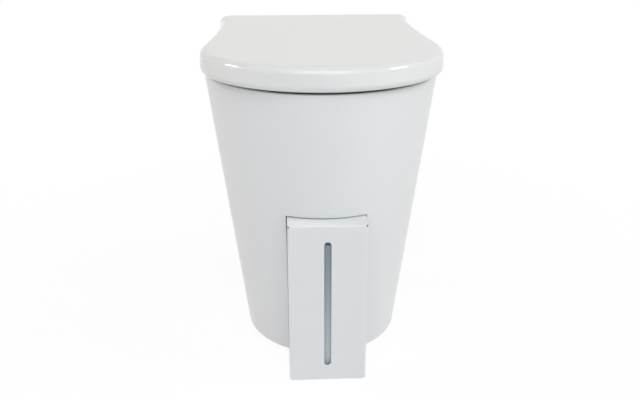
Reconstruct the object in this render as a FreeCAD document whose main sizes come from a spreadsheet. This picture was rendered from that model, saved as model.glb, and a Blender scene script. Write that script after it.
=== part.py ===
# Urine-diverting toilet: a tapered sheet steel stand with a wrap-over seat and lid,
# a diverting insert, a bucket for solids and a pull-out box with a urine canister.
# Millimetres, +Z up, the front faces -Y. The pieces are drawn about the stand's own axis,
# and each is then placed so that the origin is the middle of the footprint on the floor.
import FreeCAD, Part
import math
import os
import re
from types import SimpleNamespace

Vector = FreeCAD.Vector
doc = FreeCAD.newDocument("diverting_toilet")

# Driving dimensions

SIZES = {
    # Stand: powder coated sheet steel
    "body_top_z": 423.0,
    "body_bottom_z": 9.0,
    "body_half_width": 173.2,
    "body_front": 200.5,
    "body_back": 215.0,
    "body_corner_radius": 62.0,
    "body_sheet": 2.0,
    "body_bottom_share": 0.691,
    "rim_flange_width": 24.0,
    "hinge_deck_depth": 66.0,
    "seam_gap": 0.3,
    "overrun": 5.0,
    # Base plate and feet
    "base_sheet": 2.0,
    "base_slot_back": 58.0,
    "foot_radius": 14.0,
    "foot_top_radius": 16.0,
    "foot_side_inset": 33.7,
    "foot_front_y": 46.0,
    "foot_back_inset": 42.5,
    "foot_screw_radius": 2.5,
    "foot_screw_head_radius": 5.0,
    "foot_screw_head_height": 3.0,
    "foot_screw_recess": 3.5,
    "foot_nut_radius": 4.6,
    "foot_nut_height": 4.0,
    "thread_gap": 0.05,
    # Diverting insert
    "insert_wall": 3.0,
    "insert_edge_inset": 2.5,
    "insert_back_lap": 8.0,
    "side_ledge_width": 65.2,
    "front_ledge_width": 48.5,
    "back_ledge_width": 27.0,
    "ridge_y": 16.0,
    "ridge_width": 9.0,
    "ridge_drop": 46.0,
    "bowl_depth": 152.0,
    "bowl_floor_share": 0.26,
    "bowl_centre_y": 60.0,
    "bowl_corner_radius": 30.0,
    "drain_y": 105.0,
    "chute_depth": 108.0,
    "chute_bottom_share": 0.84,
    "chute_centre_y": 40.0,
    "chute_corner_radius": 20.0,
    "chute_focus_y": 52.0,
    # Drain spout under the urine bowl
    "spout_radius": 12.0,
    "spout_bore_radius": 9.0,
    "spout_length": 30.0,
    "spout_drip_gap": 4.0,
    "spout_collar_radius": 17.0,
    "spout_collar_height": 4.0,
    "gasket_radius": 16.0,
    "gasket_height": 2.0,
    # Bucket for solids
    "bucket_front": 61.0,
    "bucket_back_room": 25.7,
    "bucket_chute_gap": 9.0,
    "bucket_foot_gap": 18.5,
    "bucket_wall": 2.5,
    "bucket_lip_width": 5.0,
    "bucket_lip_height": 8.0,
    "bail_wire_radius": 2.2,
    "bail_lip_gap": 9.0,
    "bail_ear_drop": 26.0,
    "bail_ear_radius": 9.0,
    "bail_ear_gap": 1.0,
    "bail_hook_length": 11.0,
    "bail_hang_angle": 14.0,
    "grip_radius": 8.0,
    "grip_length": 84.0,
    "running_gap": 0.05,
    # Seat and lid hinge
    "hinge_x": 80.0,
    "hinge_back_inset": 12.0,
    "hinge_drop": 14.0,
    "hinge_arm_width": 16.0,
    "hinge_barrel_radius": 7.0,
    "hinge_foot_radius": 17.0,
    "hinge_foot_height": 5.0,
    "hinge_foot_offset": 42.0,
    "hinge_stem_depth": 20.0,
    "pin_radius": 3.5,
    "knuckle_length": 13.0,
    "knuckle_radius": 8.5,
    "knuckle_side_gap": 0.8,
    "bush_wall": 1.5,
    "hinge_stud_radius": 4.0,
    "hinge_stud_grip": 15.0,
    "hinge_stud_length": 46.0,
    "hinge_washer_radius": 12.0,
    "hinge_washer_height": 2.0,
    "wing_nut_radius": 8.0,
    "wing_nut_height": 10.0,
    "wing_span": 40.0,
    "wing_height": 16.0,
    "wing_thickness": 3.0,
    # Seat ring
    "seat_height": 19.5,
    "seat_edge_radius": 8.0,
    "seat_side_gap": 3.0,
    "seat_side_lap": 4.0,
    "seat_front_lap": 8.0,
    "seat_back_lap": 6.0,
    "seat_hinge_gap": 4.0,
    "seat_notch_depth": 62.0,
    "seat_notch_gap": 2.0,
    "bumper_radius": 9.0,
    "bumper_height": 4.5,
    "bumper_ledge_inset": 25.0,
    "bumper_front_y": 60.0,
    "bumper_back_y": 96.0,
    # Lid
    "lid_front_overhang": 9.5,
    "lid_back_overhang": 22.0,
    "lid_side_overhang": 1.8,
    "lid_wide_y": 40.0,
    "lid_shoulder_draw": 2.2,
    "lid_waist_draw": 12.7,
    "lid_waist_length": 107.0,
    "lid_back_draw": 8.2,
    "lid_back_flare_share": 0.2,
    "lid_corner_radius": 9.0,
    "lid_lip_gap": 3.6,
    "lid_cushion_height": 4.0,
    "lid_top_fall": 9.0,
    "lid_edge_inset": 13.0,
    "lid_wall": 5.0,
    "lid_back_gap_half_width": 118.0,
    # Urine box and canister
    "box_width": 110.0,
    "box_headroom": 8.0,
    "box_bottom_z": 1.5,
    "box_setback": 2.5,
    "box_sheet": 1.5,
    "box_side_depth": 104.0,
    "box_top_depth": 62.0,
    "box_corner_radius": 4.5,
    "box_relief_radius": 1.6,
    "box_gap": 1.6,
    "slot_width": 10.0,
    "slot_bottom_z": 25.0,
    "slot_top_margin": 24.0,
    "tray_back": 63.0,
    "tray_lip_height": 30.0,
    "tray_tab_height": 22.0,
    "rivet_radius": 2.0,
    "rivet_head_radius": 4.0,
    "rivet_head_height": 1.2,
    "glide_radius": 8.0,
    "glide_x": 38.0,
    "glide_inset": 16.0,
    "guide_sheet": 2.0,
    "guide_height": 30.0,
    "guide_width": 16.0,
    "guide_end_gap": 6.0,
    "guide_screw_share": 0.62,
    "guide_side_gap": 0.8,
    "guide_screw_radius": 2.0,
    "guide_screw_head_radius": 4.0,
    "guide_screw_head_height": 2.5,
    "canister_gap": 2.0,
    "canister_front_gap": 5.0,
    "canister_wall": 2.5,
    "canister_corner_radius": 12.0,
    "canister_shoulder_radius": 9.0,
    "neck_radius": 24.0,
    "neck_bore_radius": 20.5,
    "neck_height": 20.0,
    "neck_bead_radius": 26.0,
    "neck_bead_height": 3.0,
}

sheet = doc.addObject("Spreadsheet::Sheet", "Sizes")


def fill_cell(row, alias, number):
    sheet.set("A%d" % row, alias)
    sheet.set("B%d" % row, repr(number))
    sheet.setAlias("B%d" % row, alias)


for row, (alias, number) in enumerate(SIZES.items(), start=1):
    fill_cell(row, alias, number)
doc.recompute()
mm = SimpleNamespace(**{alias: float(sheet.get(alias)) for alias in SIZES})


def body_share(z):
    """How wide the stand is at a height, as a share of its top."""
    rise = (z - mm.body_bottom_z) / (mm.body_top_z - mm.body_bottom_z)
    return mm.body_bottom_share + (1 - mm.body_bottom_share) * rise


# Places and sizes that follow from the driving ones, kept in the sheet below them

# Heights, from the rim upwards
mm.insert_top_z = mm.body_top_z + mm.insert_wall
mm.seat_bottom_z = mm.insert_top_z + mm.bumper_height
mm.seat_top_z = mm.seat_bottom_z + mm.seat_height
mm.lid_bottom_z = mm.body_top_z + mm.lid_lip_gap
mm.lid_top_z = mm.seat_top_z + mm.lid_cushion_height + mm.lid_top_fall + mm.lid_wall
mm.hinge_z = mm.lid_top_z - mm.lid_wall - mm.hinge_drop
# Heights, from the rim downwards to the canister
mm.bowl_floor_z = mm.insert_top_z - mm.bowl_depth
mm.gasket_z = mm.bowl_floor_z - mm.insert_wall - mm.gasket_height
mm.spout_bottom_z = mm.gasket_z - mm.spout_length
mm.neck_top_z = mm.spout_bottom_z - mm.spout_drip_gap
mm.canister_top_z = mm.neck_top_z - mm.neck_height
mm.canister_bottom_z = mm.box_bottom_z + mm.box_sheet
mm.box_top_z = mm.neck_top_z + mm.box_headroom
mm.slot_top_z = mm.box_top_z - mm.slot_top_margin
# Plan of the lid, the opening and the seat, which follow the stand
mm.lid_front_reach = mm.body_front + mm.lid_front_overhang
mm.lid_back_reach = mm.body_back + mm.lid_back_overhang
mm.lid_half_width = mm.body_half_width + mm.lid_side_overhang
mm.lid_shoulder_half_width = mm.body_half_width - mm.lid_shoulder_draw
mm.lid_waist_half_width = mm.body_half_width - mm.lid_waist_draw
mm.lid_waist_y = mm.lid_back_reach - mm.lid_waist_length
mm.lid_back_half_width = mm.body_half_width - mm.lid_back_draw
mm.hinge_y = mm.lid_back_reach - mm.hinge_back_inset
mm.hinge_foot_y = mm.hinge_y - mm.hinge_foot_offset
mm.opening_half_width = mm.body_half_width - mm.side_ledge_width
mm.opening_front = mm.body_front - mm.front_ledge_width
mm.opening_back = mm.body_back - mm.hinge_deck_depth - mm.back_ledge_width
mm.seat_opening_half_width = mm.opening_half_width - mm.seat_side_lap
mm.seat_opening_y = (mm.opening_back - mm.seat_back_lap - mm.opening_front + mm.seat_front_lap) / 2
mm.seat_opening_reach = (mm.opening_back - mm.seat_back_lap + mm.opening_front - mm.seat_front_lap) / 2
mm.bumper_x = mm.opening_half_width + mm.bumper_ledge_inset
# Feet, and the bucket between the urine box and the back of the stand
mm.foot_x = mm.body_half_width * mm.body_bottom_share - mm.foot_side_inset
mm.foot_back_y = mm.body_back * mm.body_bottom_share - mm.foot_back_inset
mm.pail_z = mm.body_bottom_z + mm.base_sheet
mm.chute_bottom_z = mm.insert_top_z - mm.chute_depth
mm.bucket_height = mm.chute_bottom_z - mm.bucket_chute_gap - mm.pail_z
mm.bucket_back = (mm.body_back * body_share(mm.pail_z + mm.bucket_height) - mm.body_sheet
                  - mm.bucket_back_room)
mm.bucket_lip_radius = (mm.bucket_back + mm.bucket_front) / 2
mm.bucket_y = (mm.bucket_back - mm.bucket_front) / 2
mm.bucket_top_radius = mm.bucket_lip_radius - mm.bucket_lip_width
mm.bucket_bottom_radius = math.hypot(mm.foot_x, mm.foot_back_y - mm.bucket_y) - mm.bucket_foot_gap
mm.bail_z = mm.pail_z + mm.bucket_height - mm.bail_ear_drop
mm.bail_reach = mm.bucket_lip_radius + mm.bail_lip_gap
# Urine box and its guides
mm.box_front = mm.body_front - mm.box_setback
mm.guide_x = mm.box_width / 2 + mm.guide_side_gap
foot_half_width = mm.body_half_width * mm.body_bottom_share - mm.body_sheet
foot_front = mm.body_front * mm.body_bottom_share - mm.body_sheet
guide_width_share = (mm.guide_x + mm.guide_width) / foot_half_width
mm.guide_front = foot_front * math.sqrt(1 - guide_width_share ** 2) - mm.guide_end_gap
mm.guide_length = mm.guide_front - mm.tray_back
followers = [alias for alias in vars(mm) if alias not in SIZES]
for row, alias in enumerate(followers, start=len(SIZES) + 1):
    fill_cell(row, alias, getattr(mm, alias))
doc.recompute()

# Along Y the lid is the longest piece, so its middle is the middle of the footprint.
AXIS_SHIFT = "(lid_front_reach - lid_back_reach) / 2"

finished = []


# Ways to make and bind document objects

def formula(words):
    """Turn a sum of size names into an expression on the spreadsheet's cells."""
    return re.sub(r"[a-z]\w*", lambda found: "Sizes." + found.group(), words)


def bind(item, **sums):
    """Bind properties of an object, or its place x, y and z, to sums of size names."""
    for name, words in sums.items():
        path = ".Placement.Base." + name if name in "xyz" else name
        item.setExpression(path, formula(words))
    return item


def turn_to(item, axis):
    """Stand a primitive's own Z along X or -Y."""
    turns = {"x": (Vector(0, 1, 0), 90), "y": (Vector(1, 0, 0), 90)}
    direction, angle = turns[axis]
    item.Placement = FreeCAD.Placement(Vector(), FreeCAD.Rotation(direction, angle))
    return item


def cylinder(name, radius, height, x="0", y="0", z="0", axis=None):
    item = doc.addObject("Part::Cylinder", name)
    if axis:
        turn_to(item, axis)
    return bind(item, Radius=radius, Height=height, x=x, y=y, z=z)


def cone(name, radius, top_radius, height, x="0", y="0", z="0"):
    item = doc.addObject("Part::Cone", name)
    return bind(item, Radius1=radius, Radius2=top_radius, Height=height, x=x, y=y, z=z)


def box(name, length, width, height, x="0", y="0", z="0"):
    item = doc.addObject("Part::Box", name)
    return bind(item, Length=length, Width=width, Height=height, x=x, y=y, z=z)


def fuse(name, items):
    joined = doc.addObject("Part::MultiFuse", name)
    joined.Shapes = items
    return joined


def cut(name, base, tools):
    result = doc.addObject("Part::Cut", name)
    result.Base = base
    result.Tool = tools[0] if len(tools) == 1 else fuse(name + "_tools", tools)
    return result


def group(name, items):
    together = doc.addObject("Part::Compound", name)
    together.Links = items
    return together


def freeform(name, shape):
    """Hold a shape that was worked out from the sheet's sizes."""
    item = doc.addObject("Part::Feature", name)
    item.Shape = shape
    return item


def finish(item, label):
    """Name a sub-part and place it about the middle of the footprint."""
    item.Label = label
    bind(item, y=AXIS_SHIFT)
    finished.append(item)
    return item


def mirrored(sign, words):
    """A sum of size names on the right side, or its negative on the left."""
    return words if sign > 0 else "-(" + words + ")"


def block(low, high):
    """A plain box shape between two corners."""
    return Part.makeBox(high[0] - low[0], high[1] - low[1], high[2] - low[2], Vector(*low))


def rod(radius, start, end):
    """A plain round bar shape between two points."""
    run = Vector(*end) - Vector(*start)
    return Part.makeCylinder(radius, run.Length, Vector(*start), run)


def smooth_half(half, reach):
    """A half ellipse in front of the axis, from the right side round to the left side."""
    arc = Part.Arc(Vector(1, 0, 0), Vector(0, -1, 0), Vector(-1, 0, 0)).toShape()
    stretch = FreeCAD.Matrix()
    stretch.scale(half, reach, 1)
    return arc.transformGeometry(stretch).Edges[0]


def stand_wire(half, front, back, corner, z):
    """A half ellipse in front, straight sides, and a flat back with round corners."""
    diagonal = corner * (1 - math.sqrt(0.5))
    right = [Vector(half, 0, 0), Vector(half, back - corner, 0), Vector(half - corner, back, 0)]
    right_mid = Vector(half - diagonal, back - diagonal, 0)
    left = [Vector(-point.x, point.y, 0) for point in right]
    left_mid = Vector(-right_mid.x, right_mid.y, 0)
    edges = [
        Part.LineSegment(right[0], right[1]).toShape(),
        Part.Arc(right[1], right_mid, right[2]).toShape(),
        Part.LineSegment(right[2], left[2]).toShape(),
        Part.Arc(left[2], left_mid, left[1]).toShape(),
        Part.LineSegment(left[1], left[0]).toShape(),
        smooth_half(half, front),
    ]
    wire = Part.Wire(Part.__sortEdges__(edges))
    wire.translate(Vector(0, 0, z))
    return wire


def prism(wire, height):
    """A flat plate of the given height standing on a closed outline."""
    return Part.Face(wire).extrude(Vector(0, 0, height))


def loft(wires):
    return Part.makeLoft(wires, True, True)


# Stand: rolled and tapered sheet, with a turned-in rim and a doorway for the urine box

def body_wire(z, inset=0):
    share = body_share(z)
    return stand_wire(mm.body_half_width * share - inset, mm.body_front * share - inset,
                      mm.body_back * share - inset, mm.body_corner_radius * share - inset, z)


door_half_width = mm.box_width / 2 + mm.box_gap
rim_under_z = mm.body_top_z - mm.body_sheet


def make_body_shell():
    outside = loft([body_wire(mm.body_bottom_z), body_wire(mm.body_top_z)])
    hollow = loft([body_wire(mm.body_bottom_z - mm.overrun, mm.body_sheet),
                   body_wire(rim_under_z, mm.body_sheet)])
    opening = stand_wire(mm.body_half_width - mm.rim_flange_width, mm.body_front - mm.rim_flange_width,
                         mm.body_back - mm.hinge_deck_depth, mm.body_corner_radius, rim_under_z - mm.overrun)
    mouth = prism(opening, mm.body_sheet + 2 * mm.overrun)
    doorway = block((-door_half_width, -mm.body_front - mm.overrun, -mm.overrun),
                    (door_half_width, 0, mm.box_top_z + mm.box_gap))
    shell = outside.cut([hollow, mouth, doorway])
    bolt_holes = [rod(mm.hinge_stud_radius + mm.seam_gap,
                      (side * mm.hinge_x, hinge_foot_y, rim_under_z - mm.overrun),
                      (side * mm.hinge_x, hinge_foot_y, mm.body_top_z + mm.overrun)) for side in (1, -1)]
    return shell.cut(bolt_holes)


hinge_y = mm.hinge_y
hinge_foot_y = mm.hinge_foot_y
finish(freeform("shell", make_body_shell()), "body_shell")

# Base plate: spot welded inside the foot of the stand, slotted for the urine box

feet = [(side, x, y) for x, y in (("foot_x", "-foot_front_y"), ("foot_x", "foot_back_y"))
        for side in (1, -1)]
guide_screws = [(side, "guide_length * %s" % share) for share in (0.25, 0.75) for side in (1, -1)]


def guide_screw_place(side, back):
    """Where a guide is screwed to the base plate."""
    return {"x": mirrored(side, "guide_x + guide_width * guide_screw_share"),
            "y": "-tray_back - " + back}



def make_base_plate():
    plate = prism(body_wire(mm.body_bottom_z, mm.body_sheet + mm.seam_gap), mm.base_sheet)
    slot = block((-door_half_width, -mm.body_front, 0), (door_half_width, -mm.base_slot_back, mm.body_top_z))
    return plate.cut(slot)


plate = freeform("plate", make_base_plate())
holes = [cylinder("foot_hole", "foot_screw_radius + thread_gap", "body_bottom_z + base_sheet + overrun",
                  x=mirrored(side, x), y=y) for side, x, y in feet]
holes += [cylinder("guide_hole", "guide_screw_radius + thread_gap", "body_bottom_z + base_sheet + overrun",
                   **guide_screw_place(side, back)) for side, back in guide_screws]
finish(cut("drilled_plate", plate, holes), "base_plate")

# Feet: moulded rubber, each held by a screw from below and a nut on the base plate

rubber = []
screws = []
nuts = []
for side, x, y in feet:
    place = {"x": mirrored(side, x), "y": y}
    moulding = cone("foot_moulding", "foot_radius", "foot_top_radius", "body_bottom_z", **place)
    recess = cylinder("foot_recess", "foot_screw_head_radius + seam_gap",
                      "foot_screw_recess + foot_screw_head_height", **place)
    bore = cylinder("foot_bore", "foot_screw_radius + thread_gap", "body_bottom_z", **place)
    rubber.append(cut("foot", moulding, [recess, bore]))
    head = cylinder("foot_screw_head", "foot_screw_head_radius", "foot_screw_head_height",
                    z="foot_screw_recess", **place)
    shank = cylinder("foot_screw_shank", "foot_screw_radius",
                     "body_bottom_z + base_sheet + foot_nut_height - foot_screw_recess",
                     z="foot_screw_recess", **place)
    screws.append(fuse("foot_screw", [head, shank]))
    hexagon = doc.addObject("Part::Prism", "foot_nut_blank")
    bind(hexagon, Circumradius="foot_nut_radius", Height="foot_nut_height", z="pail_z", **place)
    thread = cylinder("foot_nut_thread", "foot_screw_radius + thread_gap", "foot_nut_height",
                      z="pail_z", **place)
    nuts.append(cut("foot_nut", hexagon, [thread]))
finish(group("feet", rubber), "rubber_feet")
finish(group("screws", screws), "foot_screws")
finish(group("nuts", nuts), "foot_nuts")

# Diverting insert: one moulding with a urine bowl in front and a chute for solids behind

insert_top_z = mm.insert_top_z
ridge_z = insert_top_z - mm.ridge_drop
bowl_back_y = -mm.ridge_y - mm.ridge_width / 2
chute_front_y = -mm.ridge_y + mm.ridge_width / 2


def tub_wire(half, reach, back, corner, centre_y, turn, focus_y, share, z):
    """One level of a tub that narrows towards a point below it."""
    wire = stand_wire(half, reach, back, corner, 0)
    wire.rotate(Vector(), Vector(0, 0, 1), turn)
    wire.translate(Vector(0, centre_y - focus_y, 0))
    wire.scale(share)
    wire.translate(Vector(0, focus_y, z))
    return wire


def bowl_wire(z, grow=0):
    fall = (insert_top_z - z) / (insert_top_z - mm.bowl_floor_z)
    share = 1 - (1 - mm.bowl_floor_share) * fall
    return tub_wire(mm.opening_half_width + grow, mm.opening_front - mm.bowl_centre_y + grow,
                    mm.bowl_centre_y + bowl_back_y + grow, mm.bowl_corner_radius + grow,
                    -mm.bowl_centre_y, 0, -mm.drain_y, share, z)


def chute_wire(z, grow=0):
    fall = (insert_top_z - z) / (insert_top_z - mm.chute_bottom_z)
    share = 1 - (1 - mm.chute_bottom_share) * fall
    return tub_wire(mm.opening_half_width + grow, mm.opening_back - mm.chute_centre_y + grow,
                    mm.chute_centre_y - chute_front_y + grow, mm.chute_corner_radius + grow,
                    mm.chute_centre_y, 180, mm.chute_focus_y, share, z)


def make_insert():
    above_z = insert_top_z + mm.overrun
    flange = prism(stand_wire(mm.body_half_width - mm.insert_edge_inset, mm.body_front - mm.insert_edge_inset,
                              mm.body_back - mm.hinge_deck_depth + mm.insert_back_lap, mm.body_corner_radius,
                              mm.body_top_z), mm.insert_wall)
    wall = mm.insert_wall
    bowl = loft([bowl_wire(mm.bowl_floor_z - wall, wall), bowl_wire(insert_top_z, wall)])
    chute = loft([chute_wire(mm.chute_bottom_z, wall), chute_wire(insert_top_z, wall)])
    saddle_low_z = ridge_z - mm.insert_wall
    saddle = block((-mm.opening_half_width, bowl_wire(saddle_low_z).BoundBox.YMax, saddle_low_z),
                   (mm.opening_half_width, chute_wire(saddle_low_z).BoundBox.YMin, ridge_z))
    inside_stand = loft([body_wire(z, mm.rim_flange_width) for z in (saddle_low_z, ridge_z)])
    saddle = saddle.common(inside_stand)
    hollows = [loft([bowl_wire(mm.bowl_floor_z), bowl_wire(above_z)]),
               loft([chute_wire(mm.chute_bottom_z - mm.overrun), chute_wire(above_z)])]
    dip_half = mm.opening_half_width - mm.bowl_corner_radius
    dip = block((-dip_half, -mm.bowl_centre_y, ridge_z), (dip_half, mm.chute_centre_y, above_z))
    drain = rod(mm.spout_bore_radius, (0, -mm.drain_y, mm.bowl_floor_z - mm.insert_wall - mm.overrun),
                (0, -mm.drain_y, mm.bowl_floor_z + mm.overrun))
    return flange.fuse([bowl, chute, saddle]).cut(hollows + [dip, drain]).removeSplitter()


finish(freeform("insert", make_insert()), "diverter_insert")

# Drain: a collared spout under the bowl, sealed with a flat gasket, dripping into the canister

DRAIN = {"y": "-drain_y"}
ring = cylinder("gasket_blank", "gasket_radius", "gasket_height", z="gasket_z", **DRAIN)
ring_bore = cylinder("gasket_bore", "spout_bore_radius", "gasket_height", z="gasket_z", **DRAIN)
finish(cut("gasket", ring, [ring_bore]), "drain_gasket")
tube = cylinder("spout_tube", "spout_radius", "spout_length", z="spout_bottom_z", **DRAIN)
collar = cylinder("spout_collar", "spout_collar_radius", "spout_collar_height",
                  z="gasket_z - spout_collar_height", **DRAIN)
spout_bore = cylinder("spout_bore", "spout_bore_radius", "spout_length", z="spout_bottom_z", **DRAIN)
finish(cut("spout", fuse("spout_blank", [tube, collar]), [spout_bore]), "drain_spout")

# Bucket for solids: a tapered pail with a lip and two ears, standing on the base plate

BUCKET = {"y": "bucket_y"}
pail = cone("pail_outside", "bucket_bottom_radius", "bucket_top_radius", "bucket_height",
            z="pail_z", **BUCKET)
lip = cylinder("pail_lip", "bucket_lip_radius", "bucket_lip_height",
               z="pail_z + bucket_height - bucket_lip_height", **BUCKET)
inside = cone("pail_inside", "bucket_bottom_radius - bucket_wall", "bucket_top_radius - bucket_wall",
              "bucket_height", z="pail_z + bucket_wall", **BUCKET)
mouth = cylinder("pail_mouth", "bucket_top_radius - bucket_wall", "bucket_lip_height",
                 z="pail_z + bucket_height - bucket_wall", **BUCKET)
ears = cylinder("pail_ears", "bail_ear_radius", "2 * (bail_reach - bail_wire_radius - bail_ear_gap)",
                x="-(bail_reach - bail_wire_radius - bail_ear_gap)", z="bail_z", axis="x", **BUCKET)
EAR_HOLE_PLACES = ("bail_reach - bail_hook_length - seam_gap", "-bail_reach - overrun + seam_gap")
ear_holes = [cylinder("ear_hole", "bail_wire_radius + running_gap", "bail_hook_length + overrun",
                      x=start_x, z="bail_z", axis="x", **BUCKET) for start_x in EAR_HOLE_PLACES]
finish(cut("pail", fuse("pail_blank", [pail, lip, ears]), [inside, mouth] + ear_holes), "solids_bucket")


# Bail: a wire half hoop hooked into the ears, with a moulded grip, hanging behind the bucket

def hoop(radius, start, span):
    """Part of a ring about Z, from a start angle in degrees."""
    turn = FreeCAD.Rotation(Vector(0, 0, 1), start)
    centre = turn.multVec(Vector(mm.bail_reach, 0, 0))
    along = turn.multVec(Vector(0, 1, 0))
    disc = Part.Face(Part.Wire(Part.makeCircle(radius, centre, along)))
    return disc.revolve(Vector(), Vector(0, 0, 1), span)


def hang(item, label):
    finish(item, label)
    tilt = FreeCAD.Rotation(Vector(1, 0, 0), -mm.bail_hang_angle)
    item.Placement = FreeCAD.Placement(Vector(), tilt)
    bind(item, y=AXIS_SHIFT + " + bucket_y", z="bail_z")


def make_bail():
    wire = hoop(mm.bail_wire_radius, 0, 180)
    outer = mm.bail_reach + mm.bail_wire_radius
    inner = mm.bail_reach - mm.bail_hook_length
    hooks = [rod(mm.bail_wire_radius, (side * inner, 0, 0), (side * outer, 0, 0)) for side in (1, -1)]
    return wire.fuse(hooks)


def make_grip():
    span = math.degrees(mm.grip_length / mm.bail_reach)
    start = 90 - span / 2
    return hoop(mm.grip_radius, start, span).cut(hoop(mm.bail_wire_radius + mm.running_gap, start, span))


hang(freeform("bail", make_bail()), "bucket_bail")
hang(freeform("grip", make_grip()), "bail_grip")

# Hinge: two cranked posts on the rim, each with a pin, held by a stud, washer and wing nut

sides = (1, -1)
rim = {"y": "hinge_foot_y"}
STUD_Z = "body_top_z + hinge_stud_grip - hinge_stud_length"
WASHER_Z = "body_top_z - body_sheet - hinge_washer_height"
WING_Z = WASHER_Z + " - wing_nut_height"
PIN_LENGTH = "hinge_arm_width + 2 * knuckle_side_gap + 2 * knuckle_length"


def make_post(side):
    middle = side * mm.hinge_x
    low_x = middle - mm.hinge_arm_width / 2
    high_x = middle + mm.hinge_arm_width / 2
    foot = rod(mm.hinge_foot_radius, (middle, hinge_foot_y, mm.body_top_z),
               (middle, hinge_foot_y, mm.body_top_z + mm.hinge_foot_height))
    half_stem = mm.hinge_stem_depth / 2
    arm_low_z = mm.hinge_z - mm.hinge_barrel_radius
    arm_high_z = mm.hinge_z + mm.hinge_barrel_radius
    stem = block((low_x, hinge_foot_y - half_stem, mm.body_top_z),
                 (high_x, hinge_foot_y + half_stem, arm_high_z))
    arm = block((low_x, hinge_foot_y, arm_low_z), (high_x, hinge_y, arm_high_z))
    barrel = rod(mm.hinge_barrel_radius, (low_x, hinge_y, mm.hinge_z), (high_x, hinge_y, mm.hinge_z))
    post = foot.fuse([stem, arm, barrel]).removeSplitter()
    front_top = [edge for edge in post.Edges
                 if edge.BoundBox.YMax < hinge_foot_y and edge.BoundBox.ZMin > arm_low_z
                 and edge.BoundBox.XLength > half_stem]
    post = post.makeFillet(mm.hinge_barrel_radius, front_top)
    bore = rod(mm.pin_radius + mm.thread_gap, (low_x - mm.overrun, hinge_y, mm.hinge_z),
               (high_x + mm.overrun, hinge_y, mm.hinge_z))
    socket = rod(mm.hinge_stud_radius + mm.thread_gap, (middle, hinge_foot_y, mm.body_top_z - mm.overrun),
                 (middle, hinge_foot_y, mm.body_top_z + mm.hinge_stud_grip))
    return post.cut([bore, socket])


posts = []
pins = []
studs = []
washers = []
wing_nuts = []
for side in sides:
    place = {"x": mirrored(side, "hinge_x"), **rim}
    posts.append(freeform("hinge_post", make_post(side)))
    pin_x = mirrored(side, "hinge_x") + " - (" + PIN_LENGTH + ") / 2"
    pins.append(cylinder("hinge_pin", "pin_radius", PIN_LENGTH, x=pin_x, y="hinge_y", z="hinge_z", axis="x"))
    studs.append(cylinder("hinge_stud", "hinge_stud_radius", "hinge_stud_length", z=STUD_Z, **place))
    disc = cylinder("hinge_washer_disc", "hinge_washer_radius", "hinge_washer_height", z=WASHER_Z, **place)
    eye = cylinder("hinge_washer_eye", "hinge_stud_radius + seam_gap", "hinge_washer_height",
                   z=WASHER_Z, **place)
    washers.append(cut("hinge_washer", disc, [eye]))
    hub = cone("wing_hub", "hinge_washer_radius - hinge_washer_height", "wing_nut_radius", "wing_nut_height",
               z=WING_Z, **place)
    wings = box("wing_plate", "wing_span", "wing_thickness", "wing_height",
                x=mirrored(side, "hinge_x") + " - wing_span / 2", y=rim["y"] + " - wing_thickness / 2",
                z=WASHER_Z + " - wing_height")
    thread = cylinder("wing_thread", "hinge_stud_radius + thread_gap", "wing_height + overrun",
                      z=WASHER_Z + " - wing_height - overrun / 2", **place)
    wing_nuts.append(cut("wing_nut", fuse("wing_nut_blank", [hub, wings]), [thread]))
finish(group("posts", posts), "hinge_posts")
finish(group("pins", pins), "hinge_pins")
finish(group("studs", studs), "hinge_studs")
finish(group("washers", washers), "hinge_washers")
finish(group("wing_nut_pair", wing_nuts), "hinge_wing_nuts")

# Lid outline: an elliptical front, sides drawn in to a waist, and a straight back

# How far the lid's edge lies inside its widest outline, and how high, from its lower lip to its flat top
LID_EDGE_SHARES = ((0.27, 0.0), (0.08, 0.07), (0.0, 0.24), (0.077, 0.709), (0.147, 0.82), (0.347, 0.915),
                   (0.647, 0.978), (1.0, 1.0))
lid_height = mm.lid_top_z - mm.lid_bottom_z


def lid_wire(inset, z):
    front = mm.lid_front_reach - mm.lid_wide_y - inset
    back_y = mm.lid_back_reach - inset
    back_x = mm.lid_back_half_width - inset
    corner = mm.lid_corner_radius
    diagonal = corner * (1 - math.sqrt(0.5))
    wide = Vector(mm.lid_half_width - inset, -mm.lid_wide_y, 0)
    shoulder = Vector(mm.lid_shoulder_half_width - inset, 0, 0)
    waist = Vector(mm.lid_waist_half_width - inset, mm.lid_waist_y, 0)
    turn = Vector(back_x, back_y - corner, 0)
    middle = Vector(back_x - diagonal, back_y - diagonal, 0)
    end = Vector(back_x - corner, back_y, 0)
    side = Part.BSplineCurve()
    straight = Vector(0, 1, 0)
    flare = Vector(mm.lid_back_flare_share, 1, 0)
    side.interpolate(Points=[wide, shoulder, waist, turn], InitialTangent=straight, FinalTangent=flare)
    right = [side.toShape(), Part.Arc(turn, middle, end).toShape()]
    left = [edge.mirror(Vector(), Vector(1, 0, 0)) for edge in right]
    back = Part.LineSegment(end, Vector(-end.x, end.y, 0)).toShape()
    nose = smooth_half(wide.x, front)
    nose.translate(Vector(0, -mm.lid_wide_y, 0))
    wire = Part.Wire(Part.__sortEdges__(right + left + [back, nose]))
    wire.translate(Vector(0, 0, z))
    return wire


lid_fall_angle = math.degrees(math.atan2(mm.lid_top_fall, mm.lid_front_reach + mm.lid_back_reach))


def lid_level(inset, height_share, height):
    """One level of the lid. The top falls towards the front, the lower lip is level."""
    z = mm.lid_bottom_z + height * height_share
    wire = lid_wire(inset, z)
    wire.rotate(Vector(0, mm.lid_back_reach, z), Vector(1, 0, 0), lid_fall_angle * height_share)
    return wire


def make_lid_outside():
    return loft([lid_level(mm.lid_edge_inset * inset, share, lid_height) for inset, share in LID_EDGE_SHARES])


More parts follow.
